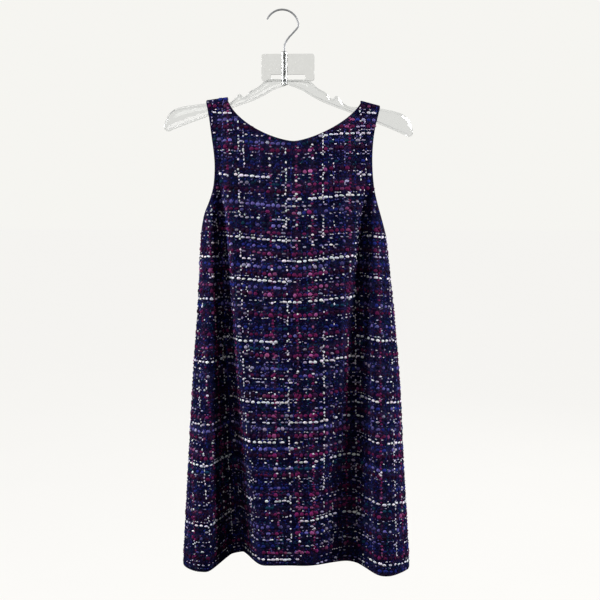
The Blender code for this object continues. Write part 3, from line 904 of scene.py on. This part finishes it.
def warm_extra(u):
    """What the bright bands add to the tone of a warm pick at u."""
    bands = (dict(zip(WARM_COLUMNS, row)) for row in WARM_BANDS)
    return sum(band["extra"] * math.exp(-(((u - band["at"]) / band["reach"]) ** 2)) for band in bands)


def slub(sort, u, v, half_length, half_width, turned):
    """First columns of a bead, with its chance drawn."""
    spread = dict(zip(SPREAD_COLUMNS, SPREADS[sort]))
    size = half_width * RANDOM.uniform(spread["thinnest"], spread["thickest"])
    if spread["stray"]:
        u = u + RANDOM.normal(0, spread["stray"])
    length = half_length * RANDOM.uniform(spread["shortest"], spread["longest"])
    return u, v, length, size, size * spread["plump"], RANDOM.normal(0, spread["twist"]), turned


def coarse_slub(kind, mix, warp, u, v, tone):
    """Slub where a coarse pick crosses a warp thread, or none."""
    shape = dict(zip(SLUB_COLUMNS, SLUBS[mix]))
    yarn = picked(mix)
    if tone < DIM_TONE and RANDOM.random() < DIM_SHARE:
        yarn = "plum" if kind == "warm" else "navy"
    if kind == "warm" and warp == "m" and RANDOM.random() < ROSE_CROSSING["share"]:
        yarn = RANDOM.choice(["magenta", "magenta", "pink"])
        tone += ROSE_CROSSING["extra_tone"]
        shape.update(half_length=ROSE_CROSSING["half_length"], half_width=ROSE_CROSSING["half_width"])
    elif kind != "white" and warp in "Ww" and RANDOM.random() < WHITE_CROSSING["share"]:
        yarn = "pale"
        shape.update(half_width=WHITE_CROSSING["half_width"])
    if RANDOM.random() >= shape["fill"]:
        return []
    return [(*slub("coarse", u, v, shape["half_length"], shape["half_width"], 0.0), *tinted(yarn, tone))]


def fine_slubs(kind, u, v, fill):
    """Slubs of the fine pick under one crossing, up to two."""
    beads = []
    for quarter in (-0.25, 0.25):
        if RANDOM.random() > fill:
            continue
        yarn = picked(RANDOM.choice(FINE_PICKS[kind]))
        at = (u + quarter * WARP_PITCH, v - PICK_PITCH / 2)
        bead = slub("fine", *at, FINE_HALF_LENGTH, FINE_HALF_WIDTH, 0.0)
        beads.append((*bead, *tinted(yarn, FINE_TONE)))
    return beads


def weft_beads(chart_shift, warp_shift):
    """Slubs of the weft: the coarse picks, then the fine ones between them."""
    coarse, fine = [], []
    picks = int((CHART_TOP_Z - HEM_Z + CHART_SPARE) / PICK_PITCH) + 2
    for pick in range(picks):
        kind = KINDS[(pick + chart_shift) % 3]
        least, run = TONES[kind]
        shift = RANDOM.uniform(-ZONE_WANDER, ZONE_WANDER)
        strength, fineness = flow(COLUMNS, COARSE_RUN), flow(COLUMNS, FINE_RUN)
        for column in range(COLUMNS):
            base_u = -MAP_HALF_U + WARP_PITCH * column
            v = CHART_TOP_Z - pick * PICK_PITCH + RANDOM.normal(0, STRAY_UP)
            warp = WARP_REPEAT[(column + warp_shift) % len(WARP_REPEAT)]
            mix = pick_mix(pick + chart_shift, base_u, shift)
            u = base_u + float(warp_drift(base_u, v)) + RANDOM.normal(0, COARSE_STRAY)
            v += float(grain_rise(u, v))
            tone = least + run * strength[column]
            if kind == "warm":
                tone += warm_extra(base_u)
            coarse += coarse_slub(kind, mix, warp, u, v, tone)
            fine += fine_slubs(kind, u, v, FINE_FILL[0] + FINE_FILL[1] * fineness[column])
    return np.array(coarse), np.array(fine)


def warp_beads(warp_shift):
    """Slubs of the warp, two to a pick, each between the picks."""
    beads = []
    steps = int((SHOULDER_Z - HEM_Z + CHART_SPARE) / (PICK_PITCH / 2))
    for column in range(COLUMNS):
        thread = WARPS[WARP_REPEAT[(column + warp_shift) % len(WARP_REPEAT)]]
        base_u = -MAP_HALF_U + WARP_PITCH * (column + 0.5)
        strength = flow(steps, WARP_RUN)
        for step in range(steps):
            if RANDOM.random() > thread["fill"] * (0.5 + strength[step]):
                continue
            v = CHART_TOP_Z - (step + 0.5) * PICK_PITCH / 2 + RANDOM.normal(0, STRAY_UP)
            u = base_u + float(warp_drift(base_u, v)) + RANDOM.normal(0, WARP_STRAY)
            v += float(grain_rise(u, v))
            bead = slub("warp", u, v, WARP_HALF_LENGTH, thread["half_width"], 1.0)
            beads.append((*bead, *tinted(picked(thread["mix"]), WARP_TONE)))
    return np.array(beads)


# Materials

class Nodes:
    """A material's node tree, with short ways to add to it."""

    def __init__(self, name):
        self.material = bpy.data.materials.new(name)
        self.material.use_nodes = True
        self.tree = self.material.node_tree
        self.shader = self.tree.nodes["Principled BSDF"]

    def add(self, kind, inputs=None, **settings):
        node = self.tree.nodes.new(kind)
        for key, value in settings.items():
            setattr(node, key, value)
        for key, value in (inputs or {}).items():
            if isinstance(value, bpy.types.NodeSocket):
                self.tree.links.new(value, node.inputs[key])
            else:
                node.inputs[key].default_value = value
        return node

    def link(self, output, socket):
        self.tree.links.new(output, self.shader.inputs[socket])

    def ramp(self, factor, stops, interpolation="LINEAR"):
        node = self.add("ShaderNodeValToRGB", {"Fac": factor})
        node.color_ramp.interpolation = interpolation
        elements = node.color_ramp.elements
        while len(elements) < len(stops):
            elements.new(0.5)
        for element, (position, colour) in zip(elements, stops):
            element.position = position
            element.color = (*colour, 1.0)
        return node.outputs["Color"]

    def maths(self, operation, a, b=0.0):
        return self.add("ShaderNodeMath", {0: a, 1: b}, operation=operation).outputs[0]

    def mixed(self, factor, first, second, blend="MIX"):
        """Two colours mixed. The node's sockets share names, so they go by number."""
        sockets = {0: factor, 6: first, 7: second}
        return self.add("ShaderNodeMix", sockets, data_type="RGBA", blend_type=blend).outputs[2]

    def attribute(self, name, output):
        return self.add("ShaderNodeAttribute", attribute_name=name).outputs[output]

    def noise(self, scale, detail=2.0):
        place = self.add("ShaderNodeTexCoord").outputs["Object"]
        inputs = {"Vector": place, "Scale": scale, "Detail": detail}
        return self.add("ShaderNodeTexNoise", inputs).outputs["Fac"]

    def settle(self, **values):
        for name, value in values.items():
            self.shader.inputs[name.replace("_", " ")].default_value = value

    def roughness(self, value, low, high):
        spread = self.add("ShaderNodeMapRange", {"Value": value, "To Min": low, "To Max": high})
        self.link(spread.outputs["Result"], "Roughness")

    def bump(self, height, strength, distance):
        inputs = {"Height": height, "Strength": strength, "Distance": distance}
        self.link(self.add("ShaderNodeBump", inputs).outputs["Normal"], "Normal")


def fabric_shader(nodes, roughness, sheen):
    nodes.settle(
        Roughness=roughness, Sheen_Weight=sheen, Sheen_Roughness=0.5, Specular_IOR_Level=0.03
    )


def ground_look():
    """The dark woven ground: fine threads both ways with small flecks of the coloured yarns."""
    nodes = Nodes("tweed_ground")
    fabric_shader(nodes, roughness=0.95, sheen=0.008)
    cloth = nodes.attribute("cloth", "Vector")
    flecks = nodes.add(
        "ShaderNodeMapping", {"Vector": cloth, "Scale": (4.0 / WARP_PITCH, 6.0 / PICK_PITCH, 1.0)}
    ).outputs["Vector"]
    cells = nodes.add(
        "ShaderNodeTexVoronoi", {"Vector": flecks, "Scale": 1.0, "Randomness": 0.4},
        voronoi_dimensions="2D",
    )
    choice = nodes.add("ShaderNodeSeparateColor", {"Color": cells.outputs["Color"]})
    fleck = nodes.ramp(choice.outputs["Red"], (
        (0.00, (0.0010, 0.0008, 0.011)),
        (0.46, (0.0030, 0.0034, 0.038)),
        (0.74, (0.010, 0.012, 0.095)),
        (0.85, (0.004, 0.024, 0.056)),
        (0.92, (0.042, 0.007, 0.034)),
        (0.975, (0.080, 0.072, 0.200)),
        (0.993, (0.420, 0.400, 0.500)),
    ), "CONSTANT")
    core = nodes.ramp(cells.outputs["Distance"], ((0.30, (1, 1, 1)), (0.52, (0, 0, 0))))
    nodes.link(nodes.mixed(core, nodes.attribute("tint", "Color"), fleck), "Base Color")
    warp, weft = (
        nodes.add(
            "ShaderNodeTexWave", {"Vector": cloth, "Scale": scale, "Distortion": 1.5, "Detail": 1.0},
            bands_direction=direction,
        ).outputs["Fac"]
        for scale, direction in ((340.0, "X"), (270.0, "Y"))
    )
    nodes.bump(nodes.maths("MAXIMUM", warp, weft), strength=0.8, distance=0.0006)
    return nodes.material


def slub_look():
    """Soft spun yarn in the colour that each slub holds, with fibres across it."""
    nodes = Nodes("tweed_slubs")
    fabric_shader(nodes, roughness=0.85, sheen=0.02)
    fibres = nodes.noise(scale=900.0)
    shade = nodes.ramp(fibres, ((0.30, (0.62, 0.60, 0.66)), (0.60, (1, 1, 1))))
    nodes.link(nodes.mixed(1.0, nodes.attribute("yarn", "Color"), shade, "MULTIPLY"), "Base Color")
    nodes.bump(fibres, strength=0.5, distance=0.0004)
    return nodes.material


def clear_look(name, colour, smooth, cloudy, relief):
    """Clear moulded plastic, with slight flow marks."""
    nodes = Nodes(name)
    nodes.settle(Base_Color=(*colour, 1.0), Transmission_Weight=1.0, IOR=1.49)
    flow_marks = nodes.noise(scale=90.0, detail=3.0)
    nodes.roughness(flow_marks, low=smooth, high=cloudy)
    nodes.bump(flow_marks, strength=relief, distance=0.001)
    return nodes.material


def wire_look():
    """Dull plated wire, with faint drawing marks."""
    nodes = Nodes("chrome_wire")
    nodes.settle(Metallic=0.7)
    marks = nodes.noise(scale=110.0)
    tone = nodes.ramp(marks, ((0.3, (0.33, 0.335, 0.34)), (0.7, (0.40, 0.405, 0.41))))
    nodes.link(tone, "Base Color")
    nodes.roughness(marks, low=0.52, high=0.64)
    return nodes.material


def seen_directly(tree):
    """1 where light paths come straight from the camera or through clear plastic, else 0."""
    path = tree.nodes.new("ShaderNodeLightPath")
    either = tree.nodes.new("ShaderNodeMath")
    either.operation = "MAXIMUM"
    tree.links.new(path.outputs["Is Camera Ray"], either.inputs[0])
    tree.links.new(path.outputs["Is Transmission Ray"], either.inputs[1])
    return either.outputs[0]


def floor_look():
    """Floor that looks as pale as the surround, but lights the cloth only dimly."""
    nodes = Nodes("pale_floor")
    nodes.settle(Roughness=0.95, Specular_IOR_Level=0.0, Emission_Color=(0.92, 0.91, 0.885, 1.0))
    grain = nodes.noise(scale=3.0)
    tone = nodes.ramp(grain, ((0.3, (0.055, 0.055, 0.054)), (0.7, (0.060, 0.060, 0.059))))
    nodes.link(tone, "Base Color")
    nodes.link(nodes.maths("MULTIPLY", seen_directly(nodes.tree), FLOOR_GLOW), "Emission Strength")
    return nodes.material


# Pieces

def dress():
    ground, slubs = ground_look(), slub_look()
    front = {
        "name": "front", "depth": "front", "folds": FRONT_FOLDS, "creases": FRONT_CREASES,
        "neck_drop": FRONT_NECK_DROP, "neck_powers": FRONT_NECK_POWERS, "toward": -1.0,
        "edge_out": {"left": 0.0, "right": 0.0},
    }
    back = {
        "name": "back", "depth": "back", "folds": BACK_FOLDS, "creases": BACK_CREASES,
        "neck_drop": BACK_NECK_DROP, "neck_powers": BACK_NECK_POWERS, "toward": 1.0,
        "edge_out": BACK_ARMHOLE_OUT,
    }
    for panel, chart_shift, warp_shift in ((front, 0, 10), (back, 11, 3)):
        name = panel["name"]
        cloth = cloth_mesh(f"{name}_cloth", panel_skin(panel), (chart_shift, warp_shift), ground)
        table = cloth_map(panel)
        coarse, fine = weft_beads(chart_shift, warp_shift)
        warp = warp_beads(warp_shift)
        made = []
        for label, beads, shape in (
            ("weft_slubs", coarse, (3, 6)),
            ("fine_picks", fine, (2, 4)),
            ("warp_slubs", warp, (2, 5)),
        ):
            kept = on_panel(panel, table, beads[:, 0], beads[:, 1], EDGE_MARGIN)
            made.append(bead_mesh(f"{name}_{label}", panel, table, beads[kept], shape, slubs))
        for piece in (cloth, *made):
            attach(piece, "root")
        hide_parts(f"dress_{name}")


def rounded_beam_section(top, foot):
    """I-beam section of an arm as (y, z) pairs, with softened ribs."""
    half, web, soft = HANGER_THICK / 2, WEB_THICK / 2, RIB_ROUND
    rib = min(RIB_HEIGHT, (top - foot) * RIB_SHARE)
    upper = (
        (web, top - rib - soft), (half - soft, top - rib), (half, top - rib + soft),
        (half, top - soft), (half - soft, top), (-half + soft, top), (-half, top - soft),
        (-half, top - rib + soft), (-half + soft, top - rib), (-web, top - rib - soft),
    )
    lower = tuple((-y, top + foot - z) for y, z in upper)
    return upper + lower


def hanger_arms(look):
    """Both arms as one beam, lofted finely through the part's stations."""
    top = curve_through(ARM_STATIONS, ARM_COLUMNS, "top")
    foot = curve_through(ARM_STATIONS, ARM_COLUMNS, "foot")
    reach = ARM_STATIONS[-1][0]
    mesh = bmesh.new()
    rings = []
    for x in np.linspace(-reach, reach, ARM_STEPS):
        drop = -LEAN * (HANGER_X + x - DRESS_X)
        section = rounded_beam_section(float(top(abs(x))), float(foot(abs(x))))
        rings.append([mesh.verts.new((HANGER_X + x, y, z + drop)) for y, z in section])
    join_rings(mesh, rings)
    mesh.faces.new(rings[0])
    mesh.faces.new(reversed(rings[-1]))
    return finished("hanger_arms", mesh, look)


def join_rings(mesh, rings):
    """Quads from each ring of vertices to the next."""
    for a, b in zip(rings, rings[1:]):
        for i in range(len(a)):
            k = (i + 1) % len(a)
            mesh.faces.new((a[i], b[i], b[k], a[k]))


def finished(name, mesh, look):
    """A piece from a bmesh, smooth but for its sharp edges."""
    bmesh.ops.recalc_face_normals(mesh, faces=mesh.faces)
    data = bpy.data.meshes.new(name)
    mesh.to_mesh(data)
    mesh.free()
    piece = add_piece(name, data, look)
    data.set_sharp_from_angle(angle=math.radians(SHARP_ANGLE))
    return piece


def rounded_box(half_x, foot, top, radius, turn=1):
    """Corners of a rounded rectangle as (x, z) pairs."""
    corners = ((1, top), (-1, top), (-1, foot), (1, foot))
    points = []
    for quarter, (side, z) in enumerate(corners):
        inward = -1 if z == top else 1
        for step in range(7):
            angle = math.pi / 2 * (quarter + step / 6)
            points.append((
                side * (half_x - radius) + radius * math.cos(angle),
                z + inward * radius + radius * math.sin(angle),
            ))
    return points[::turn]


def hanger_crest(look):
    """The flat panel above the arms, with its slot."""
    mesh = bmesh.new()
    edges = []
    for loop in (
        rounded_box(CREST_HALF, CREST_FOOT, CREST_TOP, CREST_ROUND),
        rounded_box(SLOT_HALF, SLOT_FOOT, SLOT_TOP, SLOT_ROUND, turn=-1),
    ):
        corners = [mesh.verts.new((HANGER_X + x, -CREST_THICK / 2, z)) for x, z in loop]
        edges += [mesh.edges.new((a, b)) for a, b in zip(corners, corners[1:] + corners[:1])]
    filled = bmesh.ops.triangle_fill(mesh, edges=edges, use_beauty=True)
    faces = [item for item in filled["geom"] if isinstance(item, bmesh.types.BMFace)]
    grown = bmesh.ops.extrude_face_region(mesh, geom=faces)
    moved = [item for item in grown["geom"] if isinstance(item, bmesh.types.BMVert)]
    bmesh.ops.translate(mesh, vec=(0.0, CREST_THICK, 0.0), verts=moved)
    return finished("hanger_crest", mesh, look)


def hanger_boss(look):
    """The post that holds the wire, as a tube with softened rims."""
    top = CREST_TOP + BOSS_RISE
    profile = (
        (BORE_RADIUS, BORE_FOOT), (BORE_RADIUS, top), (BOSS_RADIUS - 0.001, top),
        (BOSS_RADIUS, top - 0.001), (BOSS_RADIUS, BOSS_FOOT + 0.0015),
        (BOSS_RADIUS - 0.0015, BOSS_FOOT), (VENT_RADIUS, BOSS_FOOT), (VENT_RADIUS, BORE_FOOT),
    )
    mesh = bmesh.new()
    rings = []
    for i in range(BOSS_SIDES):
        turn = 2 * math.pi * i / BOSS_SIDES
        rings.append([
            mesh.verts.new((STEM_X + r * math.cos(turn), r * math.sin(turn), z)) for r, z in profile
        ])
    join_rings(mesh, rings + rings[:1])
    return finished("hanger_boss", mesh, look)


def hook_route():
    """The wire's centre line: a round bend, a sweep back under it, and a straight stem."""
    centre_z = WIRE_RADIUS - HOOK_RADIUS
    route = []
    for i in range(BEND_STEPS + 1):
        angle = math.radians(HOOK_TIP_ANGLE + (HOOK_NECK_ANGLE - HOOK_TIP_ANGLE) * i / BEND_STEPS)
        route.append((HOOK_RADIUS * math.cos(angle), centre_z + HOOK_RADIUS * math.sin(angle)))
    end = route[-1]
    tangent = math.radians(HOOK_NECK_ANGLE - 90.0)
    first = (
        end[0] + HOOK_NECK_PULL * math.cos(tangent), end[1] + HOOK_NECK_PULL * math.sin(tangent)
    )
    second = (STEM_X, STEM_TOP + STEM_PULL)
    for i in range(1, SWEEP_STEPS + 1):
        t = i / SWEEP_STEPS
        weights = ((1 - t) ** 3, 3 * t * (1 - t) ** 2, 3 * t * t * (1 - t), t**3)
        points = (end, first, second, (STEM_X, STEM_TOP))
        route.append(tuple(sum(w * p[k] for w, p in zip(weights, points)) for k in (0, 1)))
    route.append((STEM_X, STEM_FOOT))
    return np.array(route)


def hook(look):
    """The wire as a tube along its route, with a domed tip."""
    route = hook_route()
    tangent = unit(np.gradient(route, axis=0))
    start = [(route[0] + tangent[0] * WIRE_RADIUS * (1 - math.sin(a)), WIRE_RADIUS * math.cos(a))
             for a in np.radians((80.0, 60.0, 35.0, 15.0))]
    stations = [(point, radius, tangent[0]) for point, radius in start]
    stations += [(route[i], WIRE_RADIUS, tangent[i]) for i in range(1, len(route))]
    mesh = bmesh.new()
    rings = []
    for point, radius, along in stations:
        across = (-along[1], along[0])
        rings.append([
            mesh.verts.new((
                point[0] + radius * math.cos(turn) * across[0],
                radius * math.sin(turn),
                point[1] + radius * math.cos(turn) * across[1],
            ))
            for turn in (2 * math.pi * i / WIRE_SIDES for i in range(WIRE_SIDES))
        ])
    join_rings(mesh, rings)
    mesh.faces.new(rings[0])
    mesh.faces.new(rings[-1])
    return finished("hook_wire", mesh, look)


def hanger():
    looks = {name: clear_look(name, **values) for name, values in PLASTICS.items()}
    arms = hanger_arms(looks["clear_plastic"])
    crest = hanger_crest(looks["frosted_plastic"])
    boss = hanger_boss(looks["thick_plastic"])
    wire = hook(wire_look())
    for piece in (arms, crest, boss):
        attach(piece, "root")
    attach(wire, "root")
    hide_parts("hanger_body")
    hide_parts("wire_hook")


def camera():
    data = bpy.data.cameras.new("camera")
    data.lens = CAMERA_LENS
    data.sensor_width = 36.0
    made = placed("camera", data)
    made.location = CAMERA_AT
    made.rotation_euler = (math.radians(90.0 - CAMERA_DOWN), 0.0, math.radians(CAMERA_YAW))
    bpy.context.scene.camera = made


def area_light(name, at, size, power, colour):
    data = bpy.data.lights.new(name, "AREA")
    data.shape = "DISK"
    data.size = size
    data.energy = power
    data.color = colour
    made = placed(name, data)
    made.location = at
    made.rotation_euler = (Vector(LIT_POINT) - Vector(at)).to_track_quat("-Z", "Y").to_euler()


def studio():
    """Pale surround that lights the cloth only dimly, with soft lights from either side and
    in front and behind, so the folds keep their shade."""
    world = bpy.data.worlds.new("studio")
    world.use_nodes = True
    tree = world.node_tree
    background = tree.nodes["Background"]
    background.inputs["Color"].default_value = SURROUND
    level = tree.nodes.new("ShaderNodeMapRange")
    level.inputs["To Min"].default_value = AMBIENT
    level.inputs["To Max"].default_value = 1.0
    tree.links.new(seen_directly(tree), level.inputs["Value"])
    tree.links.new(level.outputs["Result"], background.inputs["Strength"])
    bpy.context.scene.world = world
    for row in LIGHTS:
        area_light(**dict(zip(LIGHT_COLUMNS, row)))
    bpy.ops.mesh.primitive_plane_add(size=FLOOR_SIZE, location=(0.0, 0.0, FLOOR_Z))
    floor = bpy.context.object
    floor.name = "floor"
    floor.data.materials.append(floor_look())
    bpy.context.scene.view_settings.view_transform = "Standard"


camera()
studio()
dress()
hanger()
